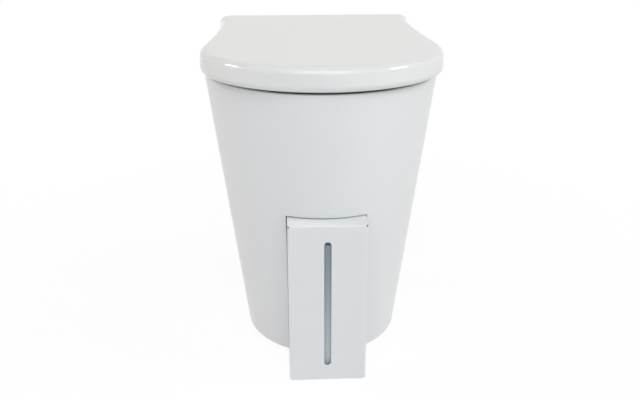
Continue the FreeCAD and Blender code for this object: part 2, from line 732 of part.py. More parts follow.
def make_lid_hollow():
    """The space under the lid, from below its lip up to the underside of its top."""
    lip = mm.lid_edge_inset * LID_EDGE_SHARES[0][0] + mm.lid_wall
    height = lid_height - mm.lid_wall
    levels = [lid_wire(lip, mm.lid_bottom_z - mm.overrun)]
    levels += [lid_level(mm.lid_edge_inset * inset + mm.lid_wall, share, height)
               for inset, share in LID_EDGE_SHARES]
    return loft(levels)


def knuckle(side, outer, web):
    """A hinge eye beside a post, joined to its panel by a web, and bored for a bush."""
    near = mm.hinge_arm_width / 2 + mm.knuckle_side_gap
    far = near + mm.knuckle_length
    first, last = (near, far) if outer else (-far, -near)
    low_x, high_x = sorted((side * (mm.hinge_x + first), side * (mm.hinge_x + last)))
    eye = rod(mm.knuckle_radius, (low_x, hinge_y, mm.hinge_z), (high_x, hinge_y, mm.hinge_z))
    (low_y, low_z), (high_y, high_z) = web
    return eye.fuse(block((low_x, low_y, low_z), (high_x, high_y, high_z)))


bush_radius = mm.pin_radius + mm.running_gap + mm.bush_wall


def eye_bore():
    reach = mm.hinge_x * 2
    return rod(bush_radius + mm.thread_gap, (-reach, hinge_y, mm.hinge_z), (reach, hinge_y, mm.hinge_z))


def make_bushes(outer):
    """Nylon bushes in one panel's hinge eyes."""
    near = mm.hinge_arm_width / 2 + mm.knuckle_side_gap
    middle = mm.hinge_x + (near + mm.knuckle_length / 2) * (1 if outer else -1)
    tubes = []
    for side in sides:
        start = (side * middle - mm.knuckle_length / 2, hinge_y, mm.hinge_z)
        end = (side * middle + mm.knuckle_length / 2, hinge_y, mm.hinge_z)
        tubes.append(rod(bush_radius, start, end).cut(rod(mm.pin_radius + mm.running_gap, start, end)))
    return Part.makeCompound(tubes)


# Seat: a thick ring that rests on bumpers, with notches round the hinge posts

SEAT_EDGE_SHARES = ((0.3, 0.0), (0.0, 0.18), (0.0, 0.5), (0.3, 0.82), (1.0, 1.0))
SEAT_HOLE_SHARES = ((0.0, 0.0), (1.0, 0.25), (1.0, 0.5), (0.7, 0.8), (-0.3, 1.0))
seat_top_z = mm.seat_top_z
seat_inset = mm.lid_edge_inset * LID_EDGE_SHARES[0][0] + mm.lid_wall + mm.seat_side_gap
# The lid swings its lower back edge forward past the seat, so the seat stops short of that sweep
lid_sweep = math.hypot(mm.lid_back_reach - hinge_y, mm.hinge_z - mm.lid_bottom_z)
seat_back_y = hinge_y - lid_sweep - mm.seat_hinge_gap


def oval_wire(half, reach, centre_y, z):
    rear = smooth_half(half, reach)
    rear.rotate(Vector(), Vector(0, 0, 1), 180)
    wire = Part.Wire(Part.__sortEdges__([smooth_half(half, reach), rear]))
    wire.translate(Vector(0, centre_y, z))
    return wire


def make_seat():
    ring = loft([lid_wire(seat_inset + mm.seat_edge_radius * inset,
                          mm.seat_bottom_z + mm.seat_height * height)
                 for inset, height in SEAT_EDGE_SHARES])
    hole = loft([oval_wire(mm.seat_opening_half_width - mm.seat_edge_radius * inset,
                           mm.seat_opening_reach - mm.seat_edge_radius * inset, mm.seat_opening_y,
                           mm.seat_bottom_z + mm.seat_height * height)
                 for inset, height in SEAT_HOLE_SHARES])
    wide = mm.lid_half_width
    behind = block((-wide, seat_back_y, mm.body_top_z), (wide, mm.lid_back_reach, mm.lid_top_z))
    notch_half = mm.hinge_arm_width / 2 + mm.seat_notch_gap
    notches = [block((side * mm.hinge_x - notch_half, hinge_y - mm.seat_notch_depth, mm.body_top_z),
                     (side * mm.hinge_x + notch_half, mm.lid_back_reach, mm.lid_top_z)) for side in sides]
    web = ((seat_back_y - mm.seat_edge_radius, mm.hinge_z - mm.knuckle_radius), (hinge_y, mm.hinge_z))
    eyes = [knuckle(side, False, web) for side in sides]
    return ring.cut([hole, behind] + notches).fuse(eyes).cut(eye_bore())


finish(freeform("seat", make_seat()), "seat_ring")
finish(freeform("seat_bush_pair", make_bushes(False)), "seat_hinge_bushes")

seat_bumpers = [cylinder("seat_bumper", "bumper_radius", "bumper_height", x=mirrored(side, "bumper_x"), y=y,
                         z="insert_top_z") for y in ("-bumper_front_y", "bumper_back_y") for side in sides]
finish(group("seat_bumper_set", seat_bumpers), "seat_bumpers")

# Lid: a wrap-over cover that hides the seat, open at the back round the hinge


def make_lid():
    shell = make_lid_outside().cut(make_lid_hollow())
    under_z = mm.lid_top_z - mm.lid_wall
    gap_half = mm.lid_back_gap_half_width
    back_gap = block((-gap_half, hinge_y - mm.knuckle_radius, mm.body_top_z),
                     (gap_half, mm.lid_back_reach, under_z))
    web = ((hinge_y - mm.knuckle_radius, mm.hinge_z), (hinge_y + mm.knuckle_radius, under_z))
    eyes = [knuckle(side, True, web) for side in sides]
    return shell.cut(back_gap).fuse(eyes).cut(eye_bore())


def make_lid_bumpers():
    """Cushions from the seat up to the sloping underside of the lid."""
    room = make_lid_hollow()
    cushions = []
    for side in sides:
        for y in (-mm.bumper_front_y, mm.bumper_back_y):
            x = side * mm.bumper_x
            cushions.append(rod(mm.bumper_radius, (x, y, seat_top_z), (x, y, mm.lid_top_z)).common(room))
    return Part.makeCompound(cushions)


finish(freeform("lid_cover", make_lid()), "lid")
finish(freeform("lid_bush_pair", make_bushes(True)), "lid_hinge_bushes")
finish(freeform("lid_bumper_set", make_lid_bumpers()), "lid_bumpers")

# Urine box: a folded sheet front with a level slot, a top flange and two side flanges

box_half = mm.box_width / 2
box_back_of_front = -mm.box_front + mm.box_sheet
tray_half = box_half - mm.box_sheet
rivet_shares = (0.2, 0.62)
rivet_y = [-mm.box_front + mm.box_side_depth * share for share in rivet_shares]
rivet_z = mm.box_bottom_z + mm.tray_tab_height / 2


def rivet_holes(low_x, high_x):
    return [rod(mm.rivet_radius + mm.thread_gap, (low_x - mm.overrun, y, rivet_z),
                (high_x + mm.overrun, y, rivet_z)) for y in rivet_y]


def countersink(side, y, gap):
    """The flush head of a rivet in the side flange, or its seat."""
    return Part.makeCone(mm.rivet_head_radius + gap, mm.rivet_radius + gap, mm.box_sheet,
                         Vector(side * box_half, y, rivet_z), Vector(-side, 0, 0))


def make_front_box():
    front = block((-box_half, -mm.box_front, mm.box_bottom_z), (box_half, box_back_of_front, mm.box_top_z))
    lower_corners = [edge for edge in front.Edges
                     if edge.BoundBox.XLength < mm.box_sheet and edge.BoundBox.ZMax < mm.box_top_z
                     and edge.BoundBox.YLength > mm.box_sheet / 2]
    front = front.makeFillet(mm.box_corner_radius, lower_corners)
    slot_half = mm.slot_width / 2
    ends = (mm.slot_bottom_z + slot_half, mm.slot_top_z - slot_half)
    before_y = -mm.box_front - mm.overrun
    behind_y = box_back_of_front + mm.overrun
    slot = block((-slot_half, before_y, ends[0]), (slot_half, behind_y, ends[1]))
    rounds = [rod(slot_half, (0, before_y, z), (0, behind_y, z)) for z in ends]
    top = block((-box_half, -mm.box_front, mm.box_top_z - mm.box_sheet),
                (box_half, -mm.box_front + mm.box_top_depth, mm.box_top_z))
    walls = []
    reliefs = []
    for side in sides:
        low_x, high_x = sorted((side * tray_half, side * box_half))
        walls.append(block((low_x, -mm.box_front, mm.box_bottom_z + mm.box_corner_radius),
                           (high_x, -mm.box_front + mm.box_side_depth, mm.box_top_z)))
        middle = mm.box_sheet / 2
        corner = Vector(side * (box_half - middle), -mm.box_front + middle, mm.box_top_z - middle)
        reliefs.append(Part.makeSphere(mm.box_relief_radius, corner))
        reliefs += rivet_holes(low_x, high_x) + [countersink(side, y, mm.thread_gap) for y in rivet_y]
    return front.fuse([top] + walls).cut([slot] + rounds + reliefs).removeSplitter()


finish(freeform("box_front_panel", make_front_box()), "front_box")


# Tray: the folded floor of the box, riveted to its side flanges, with a lip behind the canister

def make_tray():
    floor = block((-tray_half, box_back_of_front, mm.box_bottom_z),
                  (tray_half, -mm.tray_back, mm.box_bottom_z + mm.box_sheet))
    lip = block((-tray_half, -mm.tray_back - mm.box_sheet, mm.box_bottom_z),
                (tray_half, -mm.tray_back, mm.box_bottom_z + mm.tray_lip_height))
    tabs = []
    holes = []
    for side in sides:
        low_x, high_x = sorted((side * (tray_half - mm.box_sheet), side * tray_half))
        tabs.append(block((low_x, box_back_of_front, mm.box_bottom_z),
                          (high_x, -mm.box_front + mm.box_side_depth, mm.box_bottom_z + mm.tray_tab_height)))
        holes += rivet_holes(low_x, high_x)
    return floor.fuse([lip] + tabs).cut(holes).removeSplitter()


def make_rivets():
    inner = tray_half - mm.box_sheet
    rivets = []
    for side in sides:
        for y in rivet_y:
            innermost = (side * (inner - mm.rivet_head_height), y, rivet_z)
            shank = rod(mm.rivet_radius, innermost, (side * box_half, y, rivet_z))
            tail = rod(mm.rivet_head_radius, innermost, (side * inner, y, rivet_z))
            head = countersink(side, y, 0)
            rivets.append(shank.fuse([tail, head]).removeSplitter())
    return Part.makeCompound(rivets)


finish(freeform("tray", make_tray()), "box_tray")
finish(freeform("rivets", make_rivets()), "tray_rivets")

glides = [cylinder("glide", "glide_radius", "box_bottom_z", x=mirrored(side, "glide_x"), y=y)
          for y in ("-box_front + glide_inset", "-tray_back - glide_inset") for side in sides]
finish(group("glide_set", glides), "box_glides")

# Guides: two angles screwed to the base plate, which steer the box into its doorway

angles = []
guide_fixings = []
GUIDE_Y = "-tray_back - guide_length"
for side in sides:
    inner = "guide_x"
    wall_x = inner if side > 0 else "-(" + inner + " + guide_sheet)"
    foot_x = inner if side > 0 else "-(" + inner + " + guide_width)"
    wall = box("guide_wall", "guide_sheet", "guide_length", "guide_height", x=wall_x, y=GUIDE_Y, z="pail_z")
    foot = box("guide_foot", "guide_width", "guide_length", "guide_sheet", x=foot_x, y=GUIDE_Y, z="pail_z")
    holes = [cylinder("guide_screw_hole", "guide_screw_radius + thread_gap", "guide_sheet + overrun",
                      z="pail_z", **guide_screw_place(side, back))
             for screw_side, back in guide_screws if screw_side == side]
    angles.append(cut("guide", fuse("guide_blank", [wall, foot]), holes))
for side, back in guide_screws:
    place = guide_screw_place(side, back)
    shank = cylinder("guide_screw_shank", "guide_screw_radius", "base_sheet + guide_sheet",
                     z="body_bottom_z", **place)
    head = cylinder("guide_screw_head", "guide_screw_head_radius", "guide_screw_head_height",
                    z="pail_z + guide_sheet", **place)
    guide_fixings.append(fuse("guide_screw", [shank, head]))
finish(group("guide_pair", angles), "box_guides")
finish(group("guide_screw_set", guide_fixings), "guide_screws")

# Canister: a blow-moulded bottle with an open neck under the drain spout

canister_bottom_z = mm.canister_bottom_z
canister_top_z = mm.canister_top_z


def bottle(inset):
    """The canister's outside, or its inside when drawn in by the wall."""
    half = tray_half - mm.box_sheet - mm.canister_gap - inset
    body = block((-half, box_back_of_front + mm.canister_front_gap + inset, canister_bottom_z + inset),
                 (half, -mm.tray_back - mm.box_sheet - mm.canister_gap - inset, canister_top_z - inset))
    tall = (canister_top_z - canister_bottom_z) / 2
    upright = [edge for edge in body.Edges if edge.BoundBox.ZLength > tall]
    body = body.makeFillet(mm.canister_corner_radius - inset, upright)
    shoulder = [edge for edge in body.Edges if edge.BoundBox.ZMin > canister_top_z - inset - mm.canister_wall]
    return body.makeFillet(mm.canister_shoulder_radius - inset, shoulder)


def make_canister():
    neck_top_z = mm.neck_top_z
    neck = rod(mm.neck_radius, (0, -mm.drain_y, canister_top_z - mm.canister_wall),
               (0, -mm.drain_y, neck_top_z))
    bead_z = canister_top_z + mm.neck_height / 2
    bead = rod(mm.neck_bead_radius, (0, -mm.drain_y, bead_z), (0, -mm.drain_y, bead_z + mm.neck_bead_height))
    bore = rod(mm.neck_bore_radius, (0, -mm.drain_y, canister_top_z - mm.canister_wall - mm.overrun),
               (0, -mm.drain_y, neck_top_z + mm.overrun))
    return bottle(0).fuse([neck, bead]).cut([bottle(mm.canister_wall), bore]).removeSplitter()


finish(freeform("canister", make_canister()), "urine_canister")

# Check every piece, then write each to its own file

doc.recompute()
for item in doc.Objects:
    if "Invalid" in item.State or "Error" in item.State:
        raise RuntimeError("%s failed: %s" % (item.Name, item.State))
os.makedirs("parts", exist_ok=True)
for item in finished:
    if item.Shape.isNull() or not item.Shape.isValid():
        raise RuntimeError("%s has no valid shape" % item.Label)
for item in finished:
    item.Shape.exportStep("parts/%s.step" % item.Label)
    print("%-20s %2d solids %10.0f mm3" % (item.Label, len(item.Shape.Solids), item.Shape.Volume))
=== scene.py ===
import math

import bmesh
import bpy
from mathutils import Matrix, Vector


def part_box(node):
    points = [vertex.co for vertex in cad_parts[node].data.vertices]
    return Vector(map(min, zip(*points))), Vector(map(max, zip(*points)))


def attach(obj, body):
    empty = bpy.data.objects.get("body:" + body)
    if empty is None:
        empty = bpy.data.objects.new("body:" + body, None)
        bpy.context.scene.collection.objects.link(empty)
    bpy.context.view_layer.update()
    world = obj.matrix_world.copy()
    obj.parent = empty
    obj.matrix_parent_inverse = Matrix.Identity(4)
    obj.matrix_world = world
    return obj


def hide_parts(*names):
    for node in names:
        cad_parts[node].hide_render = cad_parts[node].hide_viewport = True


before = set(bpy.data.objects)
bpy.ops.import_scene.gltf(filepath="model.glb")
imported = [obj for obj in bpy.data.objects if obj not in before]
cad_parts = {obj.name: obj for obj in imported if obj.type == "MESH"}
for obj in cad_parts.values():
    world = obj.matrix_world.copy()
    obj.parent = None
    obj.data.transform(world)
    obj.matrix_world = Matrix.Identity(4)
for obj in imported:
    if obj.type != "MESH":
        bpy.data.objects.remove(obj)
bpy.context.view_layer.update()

# Stand
# The stand is white powder coated sheet steel, rolled to a taper with a round front and
# a flat back. Its rim is turned in, and a doorway in front takes the urine box.

SHEET = 0.002
STAND_AXIS_Y = -0.0135
STAND_BOTTOM_SHARE = 0.691
STAND_CORNER = 0.062
RIM_BEND = 0.0025
RIM_FLANGE = 0.024
HINGE_DECK = 0.066
DOOR_GAP = 0.0005
DOOR_HEAD_GAP = 0.0013
DOOR_SPLAY = 0.0014
SHEET_EDGE = 0.0004
SHARP_ANGLE = 35
MOTTLE_SCALE = 11
GLOSS_SCALE = 38

stand_low, stand_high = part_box("body_shell")
box_low, box_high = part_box("front_box")
stand_half = stand_high.x
stand_front = STAND_AXIS_Y - stand_low.y
stand_back = stand_high.y - STAND_AXIS_Y
door_top = box_high.z + DOOR_HEAD_GAP


def spread(start, end, steps):
    """Even values from start to end, with both ends."""
    return [start + (end - start) * step / steps for step in range(steps + 1)]


def door_half(z):
    """Half the width of the doorway, which splays a little towards its head."""
    return box_high.x + DOOR_GAP + DOOR_SPLAY * min(z / door_top, 1) ** 4


def stand_ring(share, inset, z, back):
    """One level of the stand as points round it, with two of them on the doorway's edges."""
    half = stand_half * share - inset
    front = stand_front * share - inset
    corner = max(STAND_CORNER * share - inset, SHEET)
    door_turn = math.asin(min(door_half(z) / half, 1))
    nose = spread(0, math.sin(door_turn), 6)
    right = [(x * half, -front * math.sqrt(1 - x * x)) for x in nose]
    right += [(half * math.sin(turn), -front * math.cos(turn))
              for turn in spread(door_turn, math.pi / 2, 24)[1:]]
    right += [(half, y) for y in spread(0, back - corner, 8)[1:]]
    right += [(half - corner + corner * math.cos(turn), back - corner + corner * math.sin(turn))
              for turn in spread(0, math.pi / 2, 12)[1:]]
    right += [(x, back) for x in spread(half - corner, 0, 8)[1:]]
    left = [(-x, y) for x, y in right[-2:0:-1]]
    return [Vector((x, STAND_AXIS_Y + y, z)) for x, y in right + left]


def skin(name, rings, round_trip=True):
    """A mesh of quads between rings of points that all have the same count."""
    mesh = bpy.data.meshes.new(name)
    count = len(rings[0])
    points = [tuple(point) for ring in rings for point in ring]
    last = count if round_trip else count - 1
    faces = [(row * count + col, row * count + (col + 1) % count,
              (row + 1) * count + (col + 1) % count, (row + 1) * count + col)
             for row in range(len(rings) - 1) for col in range(last)]
    mesh.from_pydata(points, [], faces)
    piece = bpy.data.objects.new(name, mesh)
    bpy.context.scene.collection.objects.link(piece)
    mesh.polygons.foreach_set("use_smooth", [True] * len(mesh.polygons))
    return piece


def edit_mesh(piece, change):
    """Open the mesh of a piece, change it and close it again."""
    work = bmesh.new()
    work.from_mesh(piece.data)
    change(work)
    work.to_mesh(piece.data)
    work.free()


def drop_faces(piece, unwanted):
    """Delete the faces whose middle the test picks out, and the points left over."""
    def drop(work):
        picked = [face for face in work.faces if unwanted(face.calc_center_median())]
        bmesh.ops.delete(work, geom=picked, context="FACES")

    edit_mesh(piece, drop)


def thicken(piece, thickness):
    """Give a skin its wall, which goes inwards."""
    shell = piece.modifiers.new("sheet", "SOLIDIFY")
    shell.thickness = thickness
    shell.offset = -1
    shell.use_even_offset = True


def ease_edges(piece, width, segments=2):
    """Round the sharp edges so that they catch the light."""
    ease = piece.modifiers.new("eased_edges", "BEVEL")
    ease.width = width
    ease.segments = segments
    ease.limit_method = "ANGLE"
    ease.angle_limit = math.radians(SHARP_ANGLE)
    ease.harden_normals = True


def stand_share(z):
    """How wide the stand is at a height, as a share of its top."""
    rise = (z - stand_low.z) / (stand_high.z - stand_low.z)
    return STAND_BOTTOM_SHARE + (1 - STAND_BOTTOM_SHARE) * rise


def stand_level(z, inset=0):
    """The outside of the stand at a height, or a line within it."""
    return stand_ring(stand_share(z), inset, z, stand_back * stand_share(z) - inset)


levels = spread(stand_low.z, door_top, 12) + spread(door_top, stand_high.z - RIM_BEND, 10)[1:]
rings = [stand_level(z) for z in levels]
for turn in spread(0, math.pi / 2, 4)[1:]:
    inset = RIM_BEND * (1 - math.cos(turn))
    rings.append(stand_level(stand_high.z - RIM_BEND * (1 - math.sin(turn)), inset))
deck_back = stand_back - HINGE_DECK
rings.append(stand_ring(1, RIM_FLANGE, stand_high.z, deck_back))
stand = skin("stand_shell", rings)
drop_faces(stand, lambda mid: abs(mid.x) < door_half(mid.z) and mid.y < STAND_AXIS_Y and mid.z < door_top)
thicken(stand, SHEET)
ease_edges(stand, SHEET_EDGE)


def new_group(name, inputs, outputs):
    """A shader node group with named sockets, and its two end nodes."""
    group = bpy.data.node_groups.new(name, "ShaderNodeTree")
    for label, kind, value in inputs:
        socket = group.interface.new_socket(label, in_out="INPUT", socket_type="NodeSocket" + kind)
        socket.default_value = value
    for label, kind in outputs:
        group.interface.new_socket(label, in_out="OUTPUT", socket_type="NodeSocket" + kind)
    return group, group.nodes.new("NodeGroupInput"), group.nodes.new("NodeGroupOutput")


def noise(tree, coords, scale, detail):
    """A noise texture in object space. Scale is a number, or a socket that gives it."""
    texture = tree.nodes.new("ShaderNodeTexNoise")
    texture.inputs["Detail"].default_value = detail
    tree.links.new(coords, texture.inputs["Vector"])
    if isinstance(scale, (int, float)):
        texture.inputs["Scale"].default_value = scale
    else:
        tree.links.new(scale, texture.inputs["Scale"])
    return texture.outputs["Fac"]


def blend_value(tree, mask, low, high):
    """Map a mask from 0 to 1 onto the span between two values or sockets."""
    span = tree.nodes.new("ShaderNodeMapRange")
    tree.links.new(mask, span.inputs["Value"])
    for label, value in (("To Min", low), ("To Max", high)):
        if isinstance(value, (int, float)):
            span.inputs[label].default_value = value
        else:
            tree.links.new(value, span.inputs[label])
    return span.outputs["Result"]


def tint(tree, colour, factor):
    """Multiply a colour socket by a grey factor."""
    mix = tree.nodes.new("ShaderNodeMix")
    mix.data_type = "RGBA"
    mix.blend_type = "MULTIPLY"
    mix.inputs["Factor"].default_value = 1
    tree.links.new(colour, mix.inputs["A"])
    tree.links.new(factor, mix.inputs["B"])
    return mix.outputs["Result"]


# The finish that all surfaces share: slow mottle in tone and gloss, and a fine grain in relief
finish_group, given, made = new_group(
    "surface_finish",
    [("Colour", "Color", (1, 1, 1, 1)), ("Mottle", "Float", 0.02), ("Gloss Low", "Float", 0.3),
     ("Gloss High", "Float", 0.4), ("Grain", "Float", 900)],
    [("Colour", "Color"), ("Roughness", "Float"), ("Height", "Float")])
place = finish_group.nodes.new("ShaderNodeTexCoord").outputs["Object"]
lightest = finish_group.nodes.new("ShaderNodeMath")
lightest.operation = "SUBTRACT"
lightest.inputs[0].default_value = 1
finish_group.links.new(given.outputs["Mottle"], lightest.inputs[1])
tone = blend_value(finish_group, noise(finish_group, place, MOTTLE_SCALE, 4), lightest.outputs[0], 1.0)
finish_group.links.new(tint(finish_group, given.outputs["Colour"], tone), made.inputs["Colour"])
gloss = blend_value(finish_group, noise(finish_group, place, GLOSS_SCALE, 5),
                    given.outputs["Gloss Low"], given.outputs["Gloss High"])
finish_group.links.new(gloss, made.inputs["Roughness"])
finish_group.links.new(noise(finish_group, place, given.outputs["Grain"], 3), made.inputs["Height"])


def surface(name, colour, mottle, gloss, grain, relief, **shader_values):
    """A material with the shared finish. Relief is the grain's depth in metres."""
    material = bpy.data.materials.new(name)
    material.use_nodes = True
    tree = material.node_tree
    shader = tree.nodes["Principled BSDF"]
    finish = tree.nodes.new("ShaderNodeGroup")
    finish.node_tree = finish_group
    finish.inputs["Colour"].default_value = (*colour, 1)
    finish.inputs["Mottle"].default_value = mottle
    finish.inputs["Gloss Low"].default_value = gloss[0]
    finish.inputs["Gloss High"].default_value = gloss[1]
    finish.inputs["Grain"].default_value = grain
    bump = tree.nodes.new("ShaderNodeBump")
    bump.inputs["Distance"].default_value = relief
    tree.links.new(finish.outputs["Height"], bump.inputs["Height"])
    tree.links.new(finish.outputs["Colour"], shader.inputs["Base Color"])
    tree.links.new(finish.outputs["Roughness"], shader.inputs["Roughness"])
    tree.links.new(bump.outputs["Normal"], shader.inputs["Normal"])
    for label, value in shader_values.items():
        shader.inputs[label.replace("_", " ").title().replace("Ior", "IOR")].default_value = value
    return material


def dress(piece, material):
    """Give a piece one material."""
    piece.data.materials.clear()
    piece.data.materials.append(material)


def dress_node(name, material, edge=0.0):
    """Give a CAD piece its finish, and soft edges where it has any."""
    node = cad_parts[name]
    dress(node, material)
    node.data.polygons.foreach_set("use_smooth", [True] * len(node.data.polygons))
    if edge:
        ease_edges(node, edge)


def powder_coated(name, colour):
    """Satin powder coat on sheet steel."""
    return surface(name, colour, mottle=0.015, gloss=(0.30, 0.38), grain=1400, relief=0.00003,
                   coat_weight=0.15, coat_roughness=0.25)


powder_coat = powder_coated("white_powder_coat", (0.71, 0.72, 0.73))
dress(stand, powder_coat)
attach(stand, "stand")
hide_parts("body_shell")

# Base plate
# A flat steel plate closes the stand below and carries the bucket and the guides of the box.
# It has the same white powder coat.

dress_node("base_plate", powder_coat, edge=SHEET_EDGE)

# Rubber feet
# Four short black rubber feet, slightly tapered and dulled by dust, hold the stand off the floor.

black_rubber = surface("black_rubber", (0.018, 0.018, 0.019),
                       mottle=0.3, gloss=(0.62, 0.8), grain=700, relief=0.00008)
dress_node("rubber_feet", black_rubber, edge=0.0012)

# Foot screws
# Pan-head screws of bright zinc plated steel hold the feet from below.
# The plating is a little streaky.

zinc = surface("zinc_steel", (0.56, 0.57, 0.585),
               mottle=0.14, gloss=(0.24, 0.42), grain=1100, relief=0.00002, metallic=1.0)
dress_node("foot_screws", zinc, edge=0.0003)

# Foot nuts
# Plain hexagon nuts on the base plate, zinc plated like their screws.

dress_node("foot_nuts", zinc, edge=0.0003)

# Diverter insert
# One thick moulding of glossy plastic, with the urine bowl in front of a ridge and the
# chute for solids behind it. Its flange lies on the stand's rim. The plastic is coloured near black as painted
# shade, so that its edge makes the dark shadow line under the lid.

# Painted shade: the insert's plastic is near black so that its edge paints the dark shadow line between the lid
# and the stand.
insert_plastic = surface("insert_plastic", (0.02, 0.021, 0.022),
                         mottle=0.12, gloss=(0.28, 0.38), grain=500, relief=0.00004, specular_ior_level=0.3)
dress_node("diverter_insert", insert_plastic, edge=0.0011)

# Drain gasket
# A black rubber ring seals the bowl's drain against the spout.

dress_node("drain_gasket", black_rubber, edge=0.0003)

# Drain spout
# A short tapered spout of the insert's plastic, which leads into the neck of the canister.

dress_node("drain_spout", insert_plastic, edge=0.0005)

# Solids bucket
# A tapered pail of matte dark grey plastic, with a rolled lip and two ears for its bail.

bucket_plastic = surface("bucket_plastic", (0.035, 0.037, 0.04),
                         mottle=0.18, gloss=(0.48, 0.62), grain=420, relief=0.00006)
dress_node("solids_bucket", bucket_plastic, edge=0.0009)

# Bucket bail
# A round steel wire bent to a half hoop, zinc plated, with its ends hooked into the ears.

dress_node("bucket_bail", zinc)

# Bail grip
# A matte black plastic tube on the middle of the bail.

grip_plastic = surface("grip_plastic", (0.02, 0.02, 0.021),
                       mottle=0.2, gloss=(0.5, 0.66), grain=800, relief=0.00005)
dress_node("bail_grip", grip_plastic, edge=0.0012)

# Hinge posts
# Two posts of satin white nylon stand on the rim and carry the hinge pins behind the seat.

hinge_nylon = surface("hinge_plastic", (0.7, 0.71, 0.71),
                      mottle=0.03, gloss=(0.36, 0.48), grain=620, relief=0.00004)
dress_node("hinge_posts", hinge_nylon, edge=0.0009)

# Hinge pins
# Zinc plated steel pins, one through each post and the eyes beside it.

dress_node("hinge_pins", zinc, edge=0.0003)

# Hinge studs
# Steel studs run down from the posts through the rim.

dress_node("hinge_studs", zinc, edge=0.0004)

# Hinge washers
# Black rubber washers under the rim take up the clamping force.

dress_node("hinge_washers", black_rubber, edge=0.0004)

# Hinge wing nuts
# Satin white nylon wing nuts clamp the posts from below.

dress_node("hinge_wing_nuts", hinge_nylon, edge=0.0008)

# Seat ring
# A thick ring of glossy white duroplast, rounded all over, with an oval opening. Behind, it is notched
# round the posts and has two arms with hinge eyes.

COVER_FRONT = 0.210
COVER_BACK = 0.237
COVER_WIDE = 0.175
COVER_WIDE_Y = -0.040
COVER_SIDE = ((COVER_WIDE_Y, COVER_WIDE, 0.0), (0.0, 0.171, -0.1385),
              (0.130, 0.1605, -0.0401), (0.228, 0.165, 0.2))
COVER_CORNER = 0.009
BACK_GAP = 0.118
SEAT_INSET = 0.0115
SEAT_EDGE = 0.008
SEAT_OPENING_WIDE = 0.104
SEAT_OPENING_Y = -0.014
SEAT_OPENING_REACH = 0.130
SEAT_BACK_GAP = 0.0294
NOTCH_HALF = 0.010
NOTCH_DEPTH = 0.062
NOTCH_CUT_BACK = 0.3
NOTCH_CUT_LOW = 0.4
NOTCH_CUT_HIGH = 0.5
EYE_LENGTH = 0.013
EYE_GAP = 0.0088
EYE_RADIUS = 0.0085
EYE_BORE = 0.0051
SOFT_EDGE = 0.0012
# The seat's section as shares: how far in from its edge, and how high
SEAT_OUTER_SHARES = ((0.75, 0.0), (0.3, 0.03), (0.0, 0.2), (0.0, 0.5), (0.2, 0.8), (0.6, 0.96), (1.1, 1.0))
SEAT_INNER_SHARES = ((-0.6, 1.0), (0.1, 0.94), (0.7, 0.78), (1.0, 0.5), (0.95, 0.22), (0.5, 0.05), (0.0, 0.0))

pin_low, pin_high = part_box("hinge_pins")
hinge = (pin_low + pin_high) / 2
post_x = pin_high.x - EYE_LENGTH - EYE_GAP
seat_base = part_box("seat_bumpers")[1].z
seat_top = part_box("lid_bumpers")[0].z


def ease_between(share, start, end, start_slope, end_slope):
    """A cubic from start to end, with a given slope at each end."""
    two, three = share * share, share ** 3
    return (start * (2 * three - 3 * two + 1) + start_slope * (three - 2 * two + share)
            + end * (3 * two - 2 * three) + end_slope * (three - two))


def cover_side(y):
    """Half the width of the lid's plan behind its widest place: shoulder, waist and flared back."""
    for (start_y, start, start_slope), (end_y, end, end_slope) in zip(COVER_SIDE, COVER_SIDE[1:]):
        if y <= end_y:
            run = end_y - start_y
            return ease_between((y - start_y) / run, start, end, start_slope * run, end_slope * run)
    return COVER_SIDE[-1][1]


def cover_plan(inset, back=COVER_BACK):
    """The plan of the lid, or of the seat under it, as points round it from the front."""
    wide = COVER_WIDE - inset
    nose = COVER_FRONT + COVER_WIDE_Y - inset
    right = [(wide * math.sin(turn), COVER_WIDE_Y - nose * math.cos(turn))
             for turn in spread(0, math.pi / 2, 60)]
    turn_y = back - inset - COVER_CORNER
    right += [(cover_side(y) - inset, y) for y in spread(COVER_WIDE_Y, turn_y, 30)[1:]]
    corner_x = right[-1][0] - COVER_CORNER
    right += [(corner_x + COVER_CORNER * math.cos(turn), turn_y + COVER_CORNER * math.sin(turn))
              for turn in spread(0, math.pi / 2, 10)[1:]]
    back_line = spread(corner_x, BACK_GAP, 4)[1:] + spread(BACK_GAP, 0, 10)[1:]
    right += [(x, turn_y + COVER_CORNER) for x in back_line]
    return right + [(-x, y) for x, y in right[-2:0:-1]]


def smooth_path(points, steps):
    """More points along a path, on a curve through the given ones."""
    path = []
    for index in range(len(points) - 1):
        before = Vector(points[max(index - 1, 0)])
        start, end = Vector(points[index]), Vector(points[index + 1])
        after = Vector(points[min(index + 2, len(points) - 1)])
        for share in spread(0, 1, steps)[:-1]:
            path.append([ease_between(share, start[axis], end[axis], (end[axis] - before[axis]) / 2,
                                      (after[axis] - start[axis]) / 2) for axis in range(len(start))])
    return path + [list(points[-1])]


def brick(name, low, high):
    """A plain block between two corners."""
    ends = (low, high)
    corners = [(ends[i][0], ends[j][1], ends[k][2])
               for k in (0, 1) for i, j in ((0, 0), (1, 0), (1, 1), (0, 1))]
    sides = [(k, (k + 1) % 4, (k + 1) % 4 + 4, k + 4) for k in range(4)]
    mesh = bpy.data.meshes.new(name)
    mesh.from_pydata(corners, [], [(3, 2, 1, 0), (4, 5, 6, 7)] + sides)
    piece = bpy.data.objects.new(name, mesh)
    bpy.context.scene.collection.objects.link(piece)
    return piece


def hinge_eye(name, start_x, end_x):
    """A bored eye on the hinge axis."""
    def ring(x, radius):
        return [Vector((x, hinge.y + radius * math.sin(turn), hinge.z + radius * math.cos(turn)))
                for turn in spread(0, 2 * math.pi, 40)[:-1]]

    low_x, high_x = sorted((start_x, end_x))
    path = [(low_x, EYE_RADIUS), (high_x, EYE_RADIUS), (high_x, EYE_BORE),
            (low_x, EYE_BORE), (low_x, EYE_RADIUS)]
    return skin(name, [ring(x, radius) for x, radius in path])


